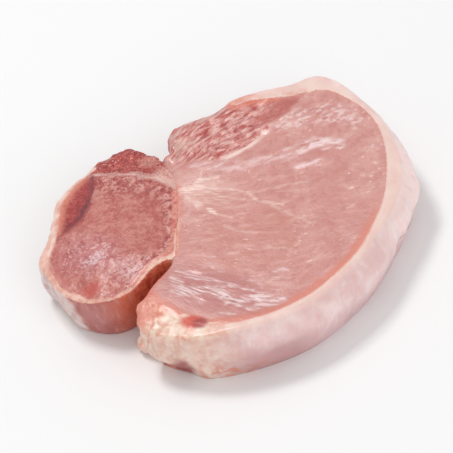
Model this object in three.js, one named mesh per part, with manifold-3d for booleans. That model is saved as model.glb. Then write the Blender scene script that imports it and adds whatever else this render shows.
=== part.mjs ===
// A raw pork loin chop, lying on one of its two cut faces.
//
// The chop is a slice right across the loin: the large pale eye muscle, the darker stranded muscle
// at its spine end, and the back fat that runs round the outside to a thick tail. Left of a thin fat
// seam is the tenderloin, which a deep groove parts from the tail, with a dark strap muscle and a pale
// sheath on its outer side, and rough red trim along the notch where the backbone was taken out.
//
// Millimetres, +Z up. X runs from the tenderloin to the back fat and Y from the tail to the spine end.
// The origin is under the middle of the chop, on the surface that it lies on.
// Every muscle and layer of fat runs through the whole slice, so each is cut from one of two slabs by
// upright prisms, with a small gap between neighbours.

import * as THREE from "three";
import { mergeVertices } from "three/addons/utils/BufferGeometryUtils.js";
import Module from "manifold-3d";

const wasm = await Module();
wasm.setup();

// ---- Driving dimensions ----

const THICKNESS = 24.4; // of the slice, before the relief of its upper face
const GAP = 0.3; // between neighbouring solids
const PRISM_HEIGHT = 60; // taller than the slice, so that a prism cuts right through it
const PRISM_FOOT = -15;
const STRIP_OUTSIDE = 7; // how far the prism of a strip reaches past the edge of its slab

// Relief of the upper face. A rise or fall that grows over a stretch states where it starts and ends.
const EYE_CROWN = { rise: 1.3, centre: [24, -4], radii: [52, 62] };
const TENDERLOIN_CROWN = { rise: 1.7, centre: [-43, 3], radii: [32, 42] };
const TENDERLOIN_STEP = 0.4; // the tenderloin lies this far below the loin
const FAT_RIM_RISE = 0.5; // the back fat stands this much above the lean
const TAIL_DROP = { fall: 2.2, centre: [10, -10], from: 48, to: 66 };
const TIP_DROP = { fall: 4, from: 46, to: 66 }; // to the tenderloin's outer tip
const FRONT_DROP = { fall: 2.2, from: 14, to: 32 }; // to the tenderloin's front edge
const TRIM_DROP = 1.6; // the trim along the notch lies this far below the tenderloin
const STRAP_DROP = 1.8; // and so does the strap muscle
const STRANDS = { relief: 0.8, pitch: 8.5, angle: THREE.MathUtils.degToRad(24) };
const BLEND = 4; // a step at the edge of a muscle is spread over this width

const EDGE_ROUND = 1.3; // rounding of the upper cut edge
const FOOT_ROUND = 1.6; // rounding of the lower edge
const FAT_BULGE = 3.4; // how far the side of the back fat swells past its upper edge
const LEAN_BULGE = 0.9; // the same, on a side of bare meat
const LOBE_TUCK = 1.8; // the foot of the tenderloin is drawn in this far
const SIDE_LUMPS = 0.8; // unevenness of the sides

// ---- Outlines of the upper face, as points that a smooth closed curve runs through ----

// The eye, the stranded muscle and the back fat together. It starts in the notch and goes
// over the spine end, down the back and along the tail to the groove.
const LOIN_OUTLINE = [
  [-20, 31], [-19.4, 41], [-19, 47.6], [-11, 51.4], [0, 54.6], [8, 58.6], [19, 60.4], [32, 60.8],
  [42, 63.4], [51, 57], [59.5, 43.5], [65.4, 29], [68.4, 13], [68.4, 0], [64, -13.4], [55.4, -28],
  [45.8, -41], [33.6, -51.8], [20.5, -59.6], [5, -63.8], [-9, -65.2], [-21, -64], [-31, -59.6],
  [-38.4, -53.4], [-41, -47.4], [-37.6, -40.4], [-33, -33.4], [-27, -27], [-23.4, -21], [-21.6, -9],
  [-20, 4], [-19.2, 17],
];
const LOIN_CENTRE = [22, -1];

// The tenderloin with all that is joined to it. Its inner side runs into the loin, where it is cut off.
const LOBE_OUTLINE = [
  [-18.6, 30.6], [-10, 24], [-10, -10], [-19, -19.5], [-27, -22], [-33, -24.5], [-38, -28.6],
  [-44, -33.2], [-52, -34.6], [-61, -31.4], [-68.5, -25], [-74, -15.5], [-77, -5.5], [-73, 2],
  [-69.6, 11], [-67.6, 21], [-60.4, 30.5], [-51.6, 38.4], [-44, 42.8], [-36.5, 44.8], [-30.6, 39.4],
  [-25, 35.4],
];
const LOBE_CENTRE = [-43, 3];

// The eye muscle. Its left side runs outside the slab, past the seam.
const EYE_REGION = [
  [-32, 30], [-14, 27.8], [-6, 26], [2, 26], [11, 29.8], [21, 37.6], [30, 44], [38.4, 53.4],
  [45, 53.2], [53, 46.4], [60, 35.5], [63.4, 22], [63.2, 7], [60, -10], [53, -25], [44, -38.6],
  [32.5, -49], [20, -56], [6, -60], [-8, -60.4], [-19, -56.4], [-27, -49], [-34, -41], [-40, -30],
  [-37, 0],
];

// The stranded muscle, between the eye, the notch and the start of the back fat.
const STRAND_REGION = [
  [-34, 32], [2, 14], [30, 40], [39, 53.4], [31, 53], [22, 54.2], [14, 55.4], [8, 54.2], [-2, 68],
  [-26, 62],
];

// The thin red flank muscle that lines the groove side of the tail.
const FLANK_REGION = [[-52, -34], [-36.6, -38.6], [-34.8, -43], [-34.6, -48], [-36.4, -53.4], [-50, -62]];

// The rough trim above the tenderloin, beside the notch.
const TRIM_REGION = [
  [-68, 36], [-56, 33.6], [-45.3, 29.8], [-36.2, 27.3], [-30, 24.3], [-24, 20.1], [-17, 15], [-4, 24],
  [-10, 44], [-34, 58], [-60, 52],
];

// The dark strap muscle at the tenderloin's outer side.
const STRAP_REGION = [
  [-78, 2], [-66, 3], [-62, 4.5], [-58, 7.5], [-55, 12.8], [-52.8, 19], [-51.4, 27], [-53, 38],
  [-74, 36],
];

// Strips along an edge of the tenderloin. Each lies on the left of the way that its points run,
// and has a width at each point.
const SHEATH = {
  edge: [
    [-51.6, 38.4], [-60.4, 30.5], [-67.6, 21], [-69.6, 11], [-73, 2], [-77, -5.5], [-74, -15.5],
    [-68.5, -25], [-61, -31.4],
  ],
  widths: [2.2, 2.6, 3, 3, 4.4, 5, 4, 3.4, 2.4],
};
const SEAM = {
  edge: [
    [-41, -31], [-38, -28.6], [-33, -24.5], [-27, -22.4], [-23.9, -20], [-22.1, -9], [-20.4, 4],
    [-19.5, 14],
  ],
  widths: [1.8, 2.4, 2.8, 3.2, 2.6, 1.6, 1.4, 1.8],
};

// ---- Fineness ----

const LOIN_AROUND = 104; // points round the loin
const LOIN_RINGS = 15; // rings on its upper face
const LOBE_AROUND = 72;
const LOBE_RINGS = 10;
const SIDE_RINGS = 5;
const REGION_POINTS = 72;
const STRIP_STEPS = 30;

// ---- Curves and regions in plan ----

const curveThrough = (points, closed) =>
  new THREE.CatmullRomCurve3(points.map(([x, y]) => new THREE.Vector3(x, y, 0)), closed, "centripetal");

const counterClockwise = (outline) => (THREE.ShapeUtils.isClockWise(outline) ? outline.reverse() : outline);

// Points at even distances along the closed curve, counter-clockwise.
function sampleOutline(points, count) {
  const samples = curveThrough(points, true).getSpacedPoints(count).slice(0, count);
  return counterClockwise(samples.map((p) => new THREE.Vector2(p.x, p.y)));
}

// The direction that points out of a counter-clockwise outline at each of its points.
function outwardNormals(outline) {
  return outline.map((_, i) => {
    const before = outline[(i + outline.length - 1) % outline.length];
    const after = outline[(i + 1) % outline.length];
    return new THREE.Vector2(after.y - before.y, before.x - after.x).normalize();
  });
}

function grow(outline, distance) {
  const normals = outwardNormals(outline);
  return outline.map((p, i) => p.clone().addScaledVector(normals[i], distance));
}

function stripRegion({ edge, widths }) {
  const curve = curveThrough(edge, false);
  const widthCurve = new THREE.SplineCurve(widths.map((width, i) => new THREE.Vector2(i, width)));
  const inner = [];
  const outer = [];
  for (let i = 0; i <= STRIP_STEPS; i++) {
    const t = i / STRIP_STEPS;
    const p = curve.getPoint(t);
    const along = curve.getTangent(t);
    const left = new THREE.Vector2(-along.y, along.x);
    inner.push(new THREE.Vector2(p.x, p.y).addScaledVector(left, widthCurve.getPoint(t).y));
    outer.push(new THREE.Vector2(p.x, p.y).addScaledVector(left, -STRIP_OUTSIDE));
  }
  return counterClockwise([...inner, ...outer.reverse()]);
}

// How far a point is inside an outline, and negative outside it.
function depthInside(x, y, outline) {
  let nearest = Infinity;
  let inside = false;
  outline.forEach((a, i) => {
    const b = outline[(i + 1) % outline.length];
    const along = ((x - a.x) * (b.x - a.x) + (y - a.y) * (b.y - a.y)) / a.distanceToSquared(b);
    const t = THREE.MathUtils.clamp(along, 0, 1);
    nearest = Math.min(nearest, Math.hypot(x - a.x - t * (b.x - a.x), y - a.y - t * (b.y - a.y)));
    if (a.y > y !== b.y > y && x < ((b.x - a.x) * (y - a.y)) / (b.y - a.y) + a.x) inside = !inside;
  });
  return inside ? nearest : -nearest;
}

const eyeOutline = sampleOutline(EYE_REGION, REGION_POINTS);
const strandOutline = sampleOutline(STRAND_REGION, REGION_POINTS);
const trimOutline = sampleOutline(TRIM_REGION, REGION_POINTS);
const strapOutline = sampleOutline(STRAP_REGION, REGION_POINTS);

// ---- The upper face ----

const ramp = THREE.MathUtils.smoothstep;
const within = (x, y, outline) => ramp(depthInside(x, y, outline), -BLEND / 4, BLEND * 0.75);
const crown = (x, y, { rise, centre, radii }) =>
  rise * Math.max(0, 1 - ((x - centre[0]) / radii[0]) ** 2 - ((y - centre[1]) / radii[1]) ** 2);

// Slow unevenness that every cut face has.
const longWave = (x, y) => 0.35 * Math.sin(x / 9 + 1.3) * Math.cos(y / 11 - 0.4);
const shortWave = (x, y) => 0.22 * Math.sin((x + y) / 6.1) * Math.sin((x - y) / 7.7);
const waves = (x, y) => longWave(x, y) + shortWave(x, y);

function loinHeight(x, y) {
  const eye = within(x, y, eyeOutline);
  const strands = within(x, y, strandOutline) * (1 - eye);
  const across = y * Math.cos(STRANDS.angle) - x * Math.sin(STRANDS.angle);
  const ridges = STRANDS.relief * Math.sin((2 * Math.PI * across) / STRANDS.pitch) * strands;
  const rim = FAT_RIM_RISE * (1 - eye) * (1 - strands);
  const tailReach = Math.hypot(x - TAIL_DROP.centre[0], y - TAIL_DROP.centre[1]);
  const towardsTail = ramp(-x, -2, 36) * ramp(-y, 25, 48);
  const tail = TAIL_DROP.fall * ramp(tailReach, TAIL_DROP.from, TAIL_DROP.to) * towardsTail;
  return THICKNESS + crown(x, y, EYE_CROWN) + waves(x, y) + ridges + rim - tail;
}

function lobeHeight(x, y) {
  const trim = TRIM_DROP * within(x, y, trimOutline);
  const strap = STRAP_DROP * within(x, y, strapOutline) * ramp(x, -70, -62);
  const tip = TIP_DROP.fall * ramp(-0.8 * x - 0.45 * y, TIP_DROP.from, TIP_DROP.to);
  const front = FRONT_DROP.fall * ramp(-y, FRONT_DROP.from, FRONT_DROP.to) * ramp(-x, 24, 40);
  const top = THICKNESS - TENDERLOIN_STEP + crown(x, y, TENDERLOIN_CROWN) + waves(x, y);
  return top - trim - strap - Math.max(tip, front);
}

// ---- The two slabs ----

// The loin swells most where its side is back fat, which spans the back and the tail.
function loinBulge(x, y) {
  const angle = Math.atan2(y - LOIN_CENTRE[1], x - LOIN_CENTRE[0]);
  const fat = ramp(Math.cos(angle + 0.65), -0.35, 0.55);
  return LEAN_BULGE + (FAT_BULGE - LEAN_BULGE) * fat;
}

// Both slabs are upright where they meet.
const loinFree = (x, y) => Math.max(ramp(x, -15, -8), ramp(y, 36, 44), ramp(-y, 36, 48));
const lobeFree = (x) => ramp(-x, 30, 42);

// A closed slab as rings: out over the upper face, down the side, and in under the foot.
function slab({ outlinePoints, centre, around, topRings, heightAt, bulgeAt, freeAt, tuck }) {
  const outline = sampleOutline(outlinePoints, around);
  const normals = outwardNormals(outline);
  const shrunk = (share) => outline.map((p) => [
    centre[0] + (p.x - centre[0]) * share,
    centre[1] + (p.y - centre[1]) * share,
  ]);
  const inset = (distance) => grow(outline, -distance).map((p) => [p.x, p.y]);
  const onTop = (points, fall) => points.map(([x, y]) => [x, y, heightAt(x, y) - fall]);
  const onFloor = (points) => points.map(([x, y]) => [x, y, 0]);

  const rings = [];
  for (let k = 1; k < topRings; k++) rings.push(onTop(shrunk(0.97 * (k / topRings) ** 0.82), 0));
  rings.push(onTop(inset(EDGE_ROUND * 0.9), EDGE_ROUND * 0.08));
  rings.push(onTop(inset(EDGE_ROUND * 0.25), EDGE_ROUND * 0.4));
  for (let k = 0; k <= SIDE_RINGS; k++) {
    const down = k / SIDE_RINGS;
    const middle = Math.sin(Math.PI * down);
    rings.push(outline.map((p, i) => {
      const top = heightAt(p.x, p.y) - EDGE_ROUND;
      const z = top + (FOOT_ROUND - top) * down;
      const lumps = SIDE_LUMPS * middle * Math.sin(p.x / 5.3 + z / 7) * Math.sin(p.y / 6.1 - z / 9);
      const swell = bulgeAt(p.x, p.y) * Math.sin(Math.PI * down ** 0.85) - tuck * down;
      const out = (swell + lumps) * freeAt(p.x, p.y);
      return [p.x + normals[i].x * out, p.y + normals[i].y * out, z];
    }));
  }
  rings.push(onFloor(inset(FOOT_ROUND * 0.6 + tuck)));
  rings.push(onFloor(shrunk(0.75)));
  rings.push(onFloor(shrunk(0.4)));

  const positions = [...centre, heightAt(...centre), ...rings.flat(2), ...centre, 0];
  const index = [];
  const at = (ring, i) => 1 + ring * around + (i % around);
  const last = rings.length - 1;
  const foot = 1 + rings.length * around;
  for (let i = 0; i < around; i++) {
    index.push(0, at(0, i), at(0, i + 1));
    index.push(foot, at(last, i + 1), at(last, i));
    for (let k = 0; k < last; k++) {
      index.push(at(k, i), at(k + 1, i), at(k + 1, i + 1));
      index.push(at(k, i), at(k + 1, i + 1), at(k, i + 1));
    }
  }
  const geometry = new THREE.BufferGeometry();
  geometry.setAttribute("position", new THREE.Float32BufferAttribute(positions, 3));
  geometry.setIndex(index);
  return geometry;
}

// ---- Cutting the slabs into muscles and fat ----

function toSolid(geometry) {
  const bare = new THREE.BufferGeometry().setAttribute("position", geometry.getAttribute("position"));
  bare.setIndex(geometry.index);
  const merged = mergeVertices(bare);
  return new wasm.Manifold(new wasm.Mesh({
    numProp: 3,
    vertProperties: new Float32Array(merged.attributes.position.array),
    triVerts: new Uint32Array(merged.index.array),
  }));
}

function prism(outline) {
  const shape = new THREE.Shape(outline);
  const geometry = new THREE.ExtrudeGeometry(shape, { depth: PRISM_HEIGHT, bevelEnabled: false });
  geometry.translate(0, 0, PRISM_FOOT);
  return toSolid(geometry);
}

const largestBody = (solid) => solid.decompose().reduce((a, b) => (a.volume() > b.volume() ? a : b));

// Takes each region in turn out of the slab. What is left at the end is the last named piece.
function partition(slabSolid, regions, lastName) {
  const pieces = {};
  let rest = slabSolid;
  for (const [name, outline] of regions) {
    pieces[name] = largestBody(rest.intersect(prism(outline)));
    rest = rest.subtract(prism(grow(outline, GAP)));
  }
  pieces[lastName] = largestBody(rest);
  return pieces;
}

const loinSlab = toSolid(slab({
  outlinePoints: LOIN_OUTLINE, centre: LOIN_CENTRE, around: LOIN_AROUND, topRings: LOIN_RINGS,
  heightAt: loinHeight, bulgeAt: loinBulge, freeAt: loinFree, tuck: 0,
}));
const lobeSlab = toSolid(slab({
  outlinePoints: LOBE_OUTLINE, centre: LOBE_CENTRE, around: LOBE_AROUND, topRings: LOBE_RINGS,
  heightAt: lobeHeight, bulgeAt: () => LEAN_BULGE, freeAt: lobeFree, tuck: LOBE_TUCK,
}));
const loinRegion = grow(sampleOutline(LOIN_OUTLINE, LOIN_AROUND), GAP);

const pieces = {
  ...partition(loinSlab, [
    ["loin_eye", eyeOutline],
    ["strand_muscle", strandOutline],
    ["flank_strip", sampleOutline(FLANK_REGION, REGION_POINTS / 2)],
  ], "back_fat"),
  ...partition(lobeSlab.subtract(prism(loinRegion)), [
    ["seam_fat", stripRegion(SEAM)],
    ["sheath", stripRegion(SHEATH)],
    ["notch_trim", trimOutline],
    ["strap_muscle", strapOutline],
  ], "tenderloin"),
};

// ---- The scene graph ----

const meat = (color, roughness) => new THREE.MeshStandardMaterial({ color, roughness, metalness: 0 });

const MATERIALS = {
  loin_eye: meat(0xd29c95, 0.35),
  strand_muscle: meat(0xc0746c, 0.38),
  flank_strip: meat(0xcc7d6c, 0.38),
  back_fat: meat(0xecccc4, 0.42),
  seam_fat: meat(0xeed9cc, 0.45),
  sheath: meat(0xe8cfc2, 0.4),
  notch_trim: meat(0xb5635d, 0.4),
  strap_muscle: meat(0xae5c5a, 0.36),
  tenderloin: meat(0xc4837b, 0.38),
};

function meshOf(name, solid) {
  const { vertProperties, triVerts } = solid.getMesh();
  const geometry = new THREE.BufferGeometry();
  geometry.setAttribute("position", new THREE.BufferAttribute(new Float32Array(vertProperties), 3));
  geometry.setIndex(new THREE.BufferAttribute(new Uint32Array(triVerts), 1));
  geometry.computeVertexNormals();
  const mesh = new THREE.Mesh(geometry, MATERIALS[name]);
  mesh.name = name;
  return mesh;
}

const chop = new THREE.Group();
for (const [name, solid] of Object.entries(pieces)) chop.add(meshOf(name, solid));

// The outlines are drawn about the seam's end of the eye, so the whole is moved to put its middle
// over the origin.
const bounds = new THREE.Box3().setFromObject(chop);
const middle = bounds.getCenter(new THREE.Vector3());
for (const mesh of chop.children) mesh.geometry.translate(-middle.x, -middle.y, -bounds.min.z);

export default chop;
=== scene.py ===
"""Looks of a raw pork loin chop: moist cut muscles, the fat round them and the sheath on the tenderloin.

Every piece of the frame is replaced by a finely meshed copy of itself. The copies share one smooth skin
and one relief, so that muscle runs into muscle and into fat without a step, as in the real slice.
Lengths are in millimetres until a mesh or the camera is made. The frame, the floor and the lights are in
metres.
"""

import math

import bmesh
import bpy
import numpy as np
from mathutils import Matrix, Vector
from mathutils.bvhtree import BVHTree


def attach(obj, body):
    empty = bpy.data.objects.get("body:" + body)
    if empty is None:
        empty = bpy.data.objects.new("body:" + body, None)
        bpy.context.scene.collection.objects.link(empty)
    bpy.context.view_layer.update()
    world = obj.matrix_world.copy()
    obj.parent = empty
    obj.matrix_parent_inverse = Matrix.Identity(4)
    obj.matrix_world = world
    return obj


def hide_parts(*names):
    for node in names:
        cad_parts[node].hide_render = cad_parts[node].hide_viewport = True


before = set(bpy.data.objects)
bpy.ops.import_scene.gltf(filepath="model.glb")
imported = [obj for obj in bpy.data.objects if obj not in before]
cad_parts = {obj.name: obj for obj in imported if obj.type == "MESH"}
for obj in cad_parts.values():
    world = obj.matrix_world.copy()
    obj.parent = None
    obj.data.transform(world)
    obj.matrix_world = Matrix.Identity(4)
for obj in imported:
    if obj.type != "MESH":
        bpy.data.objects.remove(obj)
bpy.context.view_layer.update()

MM = 0.001
UP = Vector((0, 0, 1))

# ---- The view ----

# The real chop leans on the one behind it and this one lies flat, so the camera is turned to match.
CAMERA_PLACE = (48.6, -775.1, 810.6)
CAMERA_AIM = (-0.2, 3.5, 12.0)
CAMERA_UP = (0.191, 0.706, 0.682)
LENS = 227.0  # of a sensor 36 mm wide

# ---- The finely meshed copies ----

FINE = {  # size of a face, by node
    "loin_eye": 0.54,
    "back_fat": 0.48,
    "tenderloin": 0.42,
    "strand_muscle": 0.38,
    "notch_trim": 0.35,
    "strap_muscle": 0.35,
    "sheath": 0.35,
    "seam_fat": 0.35,
    "flank_strip": 0.3,
}
GROW = 0.4  # each copy is this much larger, which closes the gaps between the solids
WELD = 0.001  # corners nearer to each other than this are one
SKIN_GROW = 0.3
SKIN_FINE = 0.7
SKIN_PASSES = 14  # of smoothing, which take out the facets of the solids
SKIN_REACH = 2.2  # a face on the outside is never further than this from the skin
RELIEF_DEPTH = 3.5  # relief dies away over this depth inside the piece
FOOT_CALM = (0.2, 2.5)  # between these heights the relief grows to its full height
FLAT_BELOW = 0.35  # points lower than this stay on the board
SAME_SIDE = 0.45  # least cosine between a face on the outside and the skin beside it
LONGEST_MOVE = 1.6  # how much further than a face a sharp corner may move when a solid grows
WALL_SLOPE = (0.35, 0.85)  # upward part of the skin's normal, from a wall to a cut face
SHARP_EDGE = math.radians(50)

# Places where the slice's edge is drawn in or out: centre and radii of an oval in plan, its angle, the
# move in plan, and the heights between which the move dies away.
PULLS = (
    ((-33.0, -55.0), (23.0, 11.0), -42.0, (1.9, 1.9), (2.0, 10.0)),  # the undercut foot of the tail's tip
    ((-38.8, -45.5), (10.5, 7.0), 0.0, (4.0, 0.6), (11.0, 21.0)),  # the hollow over it
    ((-41.5, -43.0), (8.8, 8.0), 0.0, (-7.2, -0.6), (2.5, 10.0)),  # the fat that sticks out beside it
    ((-39.0, -37.5), (6.5, 5.5), 0.0, (-1.6, 0.3), (40.0, 50.0)),  # the corner above
    ((-31.0, 39.0), (13.0, 6.0), -20.0, (0.3, 1.7), (40.0, 50.0)),  # the trim's ragged edge
    ((-20.0, 33.5), (7.0, 5.5), 0.0, (-2.2, 0.8), (40.0, 50.0)),  # the bottom of the notch
    ((74.0, -1.5), (9.0, 7.5), 0.0, (1.4, 0.0), (17.0, 25.0)),  # the bump on the back fat
    ((66.5, -21.5), (7.0, 5.0), 0.0, (-1.5, 0.6), (18.0, 26.0)),  # the nick beside it
    ((-70.5, -16.0), (8.0, 12.0), 30.0, (0.9, 0.5), (12.0, 18.0)),  # the hollow under the sheath's rim
    ((-64.0, -27.0), (9.0, 5.0), -35.0, (-0.9, -1.1), (1.0, 6.0)),  # the fat that bulges at its foot
)

# ---- Distances in plan, and patches ----

PLAN_STEP = 0.5  # of the grid on which distances are measured
PLAN_REACH = (80.0, 71.0)
PLAN_HEIGHT = 12.0
BLEND = 2.0  # relief of one piece passes into its neighbour's over this width
SPOT_CORE = 0.35  # share of a patch's radius within which it is at full strength


def rise(value, low, high):
    """0 up to low, 1 from high on, and a smooth curve between them."""
    t = np.clip((value - low) / (high - low), 0.0, 1.0)
    return t * t * (3.0 - 2.0 * t)


def fall(value, low, high):
    """1 up to low, 0 from high on, and a smooth curve between them."""
    return 1.0 - rise(value, low, high)


def grown_mesh(name, nodes, grow):
    """One mesh of the nodes' solids, each grown outwards."""
    bm = bmesh.new()
    for node in nodes:
        bm.from_mesh(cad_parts[node].data)
    bmesh.ops.remove_doubles(bm, verts=bm.verts, dist=WELD * MM)
    bm.normal_update()
    moves = [v.normal * (grow * MM * min(v.calc_shell_factor(), LONGEST_MOVE)) for v in bm.verts]
    for v, move in zip(bm.verts, moves):
        v.co += move
    mesh = bpy.data.meshes.new(name)
    bm.to_mesh(mesh)
    bm.free()
    return mesh


def add_object(name, data):
    thing = bpy.data.objects.new(name, data)
    bpy.context.scene.collection.objects.link(thing)
    return thing


def remeshed(name, nodes, grow, face_size, smoothing=0):
    """An object with the form of the nodes, whose mesh has even faces all over."""
    source = add_object(name, grown_mesh(name, nodes, grow))
    remesh = source.modifiers.new("even_faces", "REMESH")
    remesh.mode = "VOXEL"
    remesh.voxel_size = face_size * MM
    if smoothing:
        smooth = source.modifiers.new("smooth", "SMOOTH")
        smooth.factor = 0.5
        smooth.iterations = smoothing
    evaluated = source.evaluated_get(bpy.context.evaluated_depsgraph_get())
    mesh = bpy.data.meshes.new_from_object(evaluated)
    source.modifiers.clear()
    source.data = mesh
    return source


def read_points(mesh):
    points = np.empty(len(mesh.vertices) * 3)
    mesh.vertices.foreach_get("co", points)
    return points.reshape(-1, 3) / MM


def write_points(mesh, points):
    mesh.vertices.foreach_set("co", (points * MM).ravel())
    mesh.update()


def read_normals(mesh):
    normals = np.empty(len(mesh.vertices) * 3)
    mesh.vertex_normals.foreach_get("vector", normals)
    return normals.reshape(-1, 3)


class PlanField:
    """A value over the plan, read between the points of an even grid."""

    def __init__(self, grid):
        self.grid = grid

    def __call__(self, points):
        rows, columns = self.grid.shape
        # The limit just inside the last row and column leaves a next one to blend with.
        x = np.clip((points[:, 0] + PLAN_REACH[0]) / PLAN_STEP, 0, columns - 1.001)
        y = np.clip((points[:, 1] + PLAN_REACH[1]) / PLAN_STEP, 0, rows - 1.001)
        i, j = x.astype(int), y.astype(int)
        u, v = x - i, y - j
        low = self.grid[j, i] * (1 - u) + self.grid[j, i + 1] * u
        high = self.grid[j + 1, i] * (1 - u) + self.grid[j + 1, i + 1] * u
        return low * (1 - v) + high * v


def search_tree(thing):
    return BVHTree.FromObject(thing, bpy.context.evaluated_depsgraph_get())


def plan_distance(tree):
    """How far a point of the plan is outside a form, negative inside it."""
    xs = np.arange(-PLAN_REACH[0], PLAN_REACH[0] + PLAN_STEP, PLAN_STEP)
    ys = np.arange(-PLAN_REACH[1], PLAN_REACH[1] + PLAN_STEP, PLAN_STEP)
    grid = np.empty((len(ys), len(xs)))
    for j, y in enumerate(ys):
        for i, x in enumerate(xs):
            point = Vector((x * MM, y * MM, PLAN_HEIGHT * MM))
            distance = tree.find_nearest(point)[3]
            above = tree.ray_cast(point, UP)[1]
            inside = above is not None and above.z > 0
            grid[j, i] = (-distance if inside else distance) / MM
    return PlanField(grid)


# ---- Noise, the same on every run ----


def lattice(ix, iy, iz, seed):
    """A number from -1 to 1 for each point of the whole-number lattice."""
    mixed = ix * 374761393 + iy * 668265263 + iz * 2147483647 + seed * 974634777
    mixed = (mixed ^ (mixed >> 13)) * 1274126177
    mixed = mixed ^ (mixed >> 16)
    return (mixed & 0xFFFF) / 32767.5 - 1.0


def noise(points, seed):
    """Smooth noise from -1 to 1, whose lumps are one unit in size."""
    base = np.floor(points).astype(np.int64)
    t = points - base
    t = t * t * (3.0 - 2.0 * t)
    total = 0.0
    for dx in (0, 1):
        for dy in (0, 1):
            for dz in (0, 1):
                weight = (t[:, 0] if dx else 1 - t[:, 0]) * (t[:, 1] if dy else 1 - t[:, 1])
                weight = weight * (t[:, 2] if dz else 1 - t[:, 2])
                total = total + weight * lattice(base[:, 0] + dx, base[:, 1] + dy, base[:, 2] + dz, seed)
    return total


def layered_noise(points, size, layers, seed):
    """Noise whose largest lumps have the given size, which is one number or one for each axis. Each layer
    has lumps half as large and half as strong as the one before."""
    total, strength = 0.0, 1.0
    for layer in range(layers):
        total = total + strength * noise(points * (2.0**layer / np.asarray(size)), seed + layer)
        strength *= 0.5
    return total


# ---- Where the fibres run ----

FIBRE_HEIGHT = 3.0  # a shape among the fibres is this many times as high as it is wide


def eye_across(points):
    """Grows across the eye's fibres, so that they follow its level lines. They fan out from the seam,
    sweep along the lower edge and rise towards the spine end."""
    x, y, _ = points.T
    spread = 1.0 + (0.006 + 0.008 * rise(y, 0, 24)) * (x + 20.0)
    bend = 0.011 * rise(-y, 5, 45) * np.minimum(np.abs(x - 12.0), 36.0) ** 2
    by_seam = rise(-x, -24, 4) * fall(np.abs(y - 10.0), 3, 16)
    return (y - 12.0) / spread - bend + 0.3 * (x + 4.0) * by_seam


def strand_across(points):
    """The same for the stranded muscle, whose strands turn down at the notch."""
    x, y, _ = points.T
    turn = 0.022 * np.clip(4.0 - x, 0.0, None) ** 2
    return y - 0.37 * x + turn


def spot(points, centre, radii, angle=0.0):
    """1 at the centre of an oval patch in plan, 0 outside it."""
    turn = math.radians(angle)
    dx, dy = points[:, 0] - centre[0], points[:, 1] - centre[1]
    along = (dx * math.cos(turn) + dy * math.sin(turn)) / radii[0]
    across = (dy * math.cos(turn) - dx * math.sin(turn)) / radii[1]
    return fall(np.hypot(along, across), SPOT_CORE, 1)


# ---- Relief of each piece, as a height along the skin's normal ----


def fibre_points(points, across, along_size):
    """Coordinates in which a shape is along_size times as long as it is wide."""
    return np.stack([points[:, 0] / along_size, across, points[:, 2] / FIBRE_HEIGHT], 1)


def eye_relief(p):
    fibres = layered_noise(fibre_points(p, eye_across(p), 7.0), (1.0, 2.2, 1.0), 2, 11)
    wide = layered_noise(p, 16.0, 2, 21)
    rough = 0.04 + 0.14 * spot(p, (-6.0, -42.0), (32.0, 13.0), -36.0)
    rough = rough + 0.1 * spot(p, (36.0, 22.0), (26.0, 9.0), 10.0)
    return 0.3 * wide + rough * fibres


def strand_relief(p):
    strands = layered_noise(fibre_points(p, strand_across(p), 9.0), (1.0, 3.2, 1.0), 3, 31)
    calm = 0.3 + 0.7 * rise(distances["loin_eye"](p), 0, 4)
    return calm * (0.32 * strands + 0.2 * layered_noise(p, 5.0, 2, 41))


def tender_relief(p):
    return 0.09 * layered_noise(p, 2.0, 2, 51) + 0.3 * layered_noise(p, 13.0, 2, 61)


def trim_relief(p):
    return 0.7 * layered_noise(p, (4.0, 4.0, 5.0), 3, 71)


def strap_relief(p):
    return 0.3 * layered_noise(p, (2.5, 5.0, 5.0), 3, 81)


def above_fold(p):
    """Height above the crease that runs along the side of the back fat."""
    _, y, z = p.T
    return z - 13.5 - 0.25 * y - 0.8 * np.sin(y / 4.0)


def along_fold(p):
    """1 where the crease runs, 0 beyond its ends."""
    return rise(p[:, 0], 58, 66) * rise(-p[:, 1], -26, -12)


def fold_relief(p):
    """The swelling over the crease, which is highest at the bump."""
    above = above_fold(p)
    swell = rise(above, 0, 1.5) * fall(above, 3, 9)
    bump = fall(np.abs(p[:, 1] - 6.0), 2, 14)
    return along_fold(p) * swell * (0.4 + 1.1 * bump)


def fat_relief(p):
    x, y, z = p.T
    lumps = 0.55 * layered_noise(p, (17.0, 17.0, 13.0), 2, 91) + 0.25 * layered_noise(p, 6.0, 2, 92)
    tail = rise(-x, -4, 20) * rise(-y, 30, 46)
    crags = 0.55 * layered_noise(p, (6.0, 6.0, 5.0), 2, 93) * tail
    ragged_foot = 0.5 * fall(z, 3, 8) * layered_noise(p, 5.0, 2, 94)
    tip = rise(-x, 22, 34) * rise(-y, 40, 48)
    tip_crags = 0.8 * tip * layered_noise(p, 4.0, 2, 95)
    calm = 1.0 - 0.7 * rise(z, 21.5, 24.5)
    return (lumps + crags + tip_crags) * calm + ragged_foot + fold_relief(p)


def sheath_relief(p):
    return 0.35 * layered_noise(p, (6.0, 6.0, 9.0), 3, 101)


RELIEFS = {
    "loin_eye": eye_relief,
    "strand_muscle": strand_relief,
    "tenderloin": tender_relief,
    "notch_trim": trim_relief,
    "strap_muscle": strap_relief,
    "back_fat": fat_relief,
    "seam_fat": fat_relief,
    "flank_strip": trim_relief,
    "sheath": sheath_relief,
}

node_names = sorted(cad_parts)
distances = {name: plan_distance(search_tree(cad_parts[name])) for name in node_names}
skin = remeshed("skin", node_names, SKIN_GROW, SKIN_FINE, SKIN_PASSES)
skin_tree = search_tree(skin)
edge = plan_distance(skin_tree)
bpy.data.objects.remove(skin)


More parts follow.
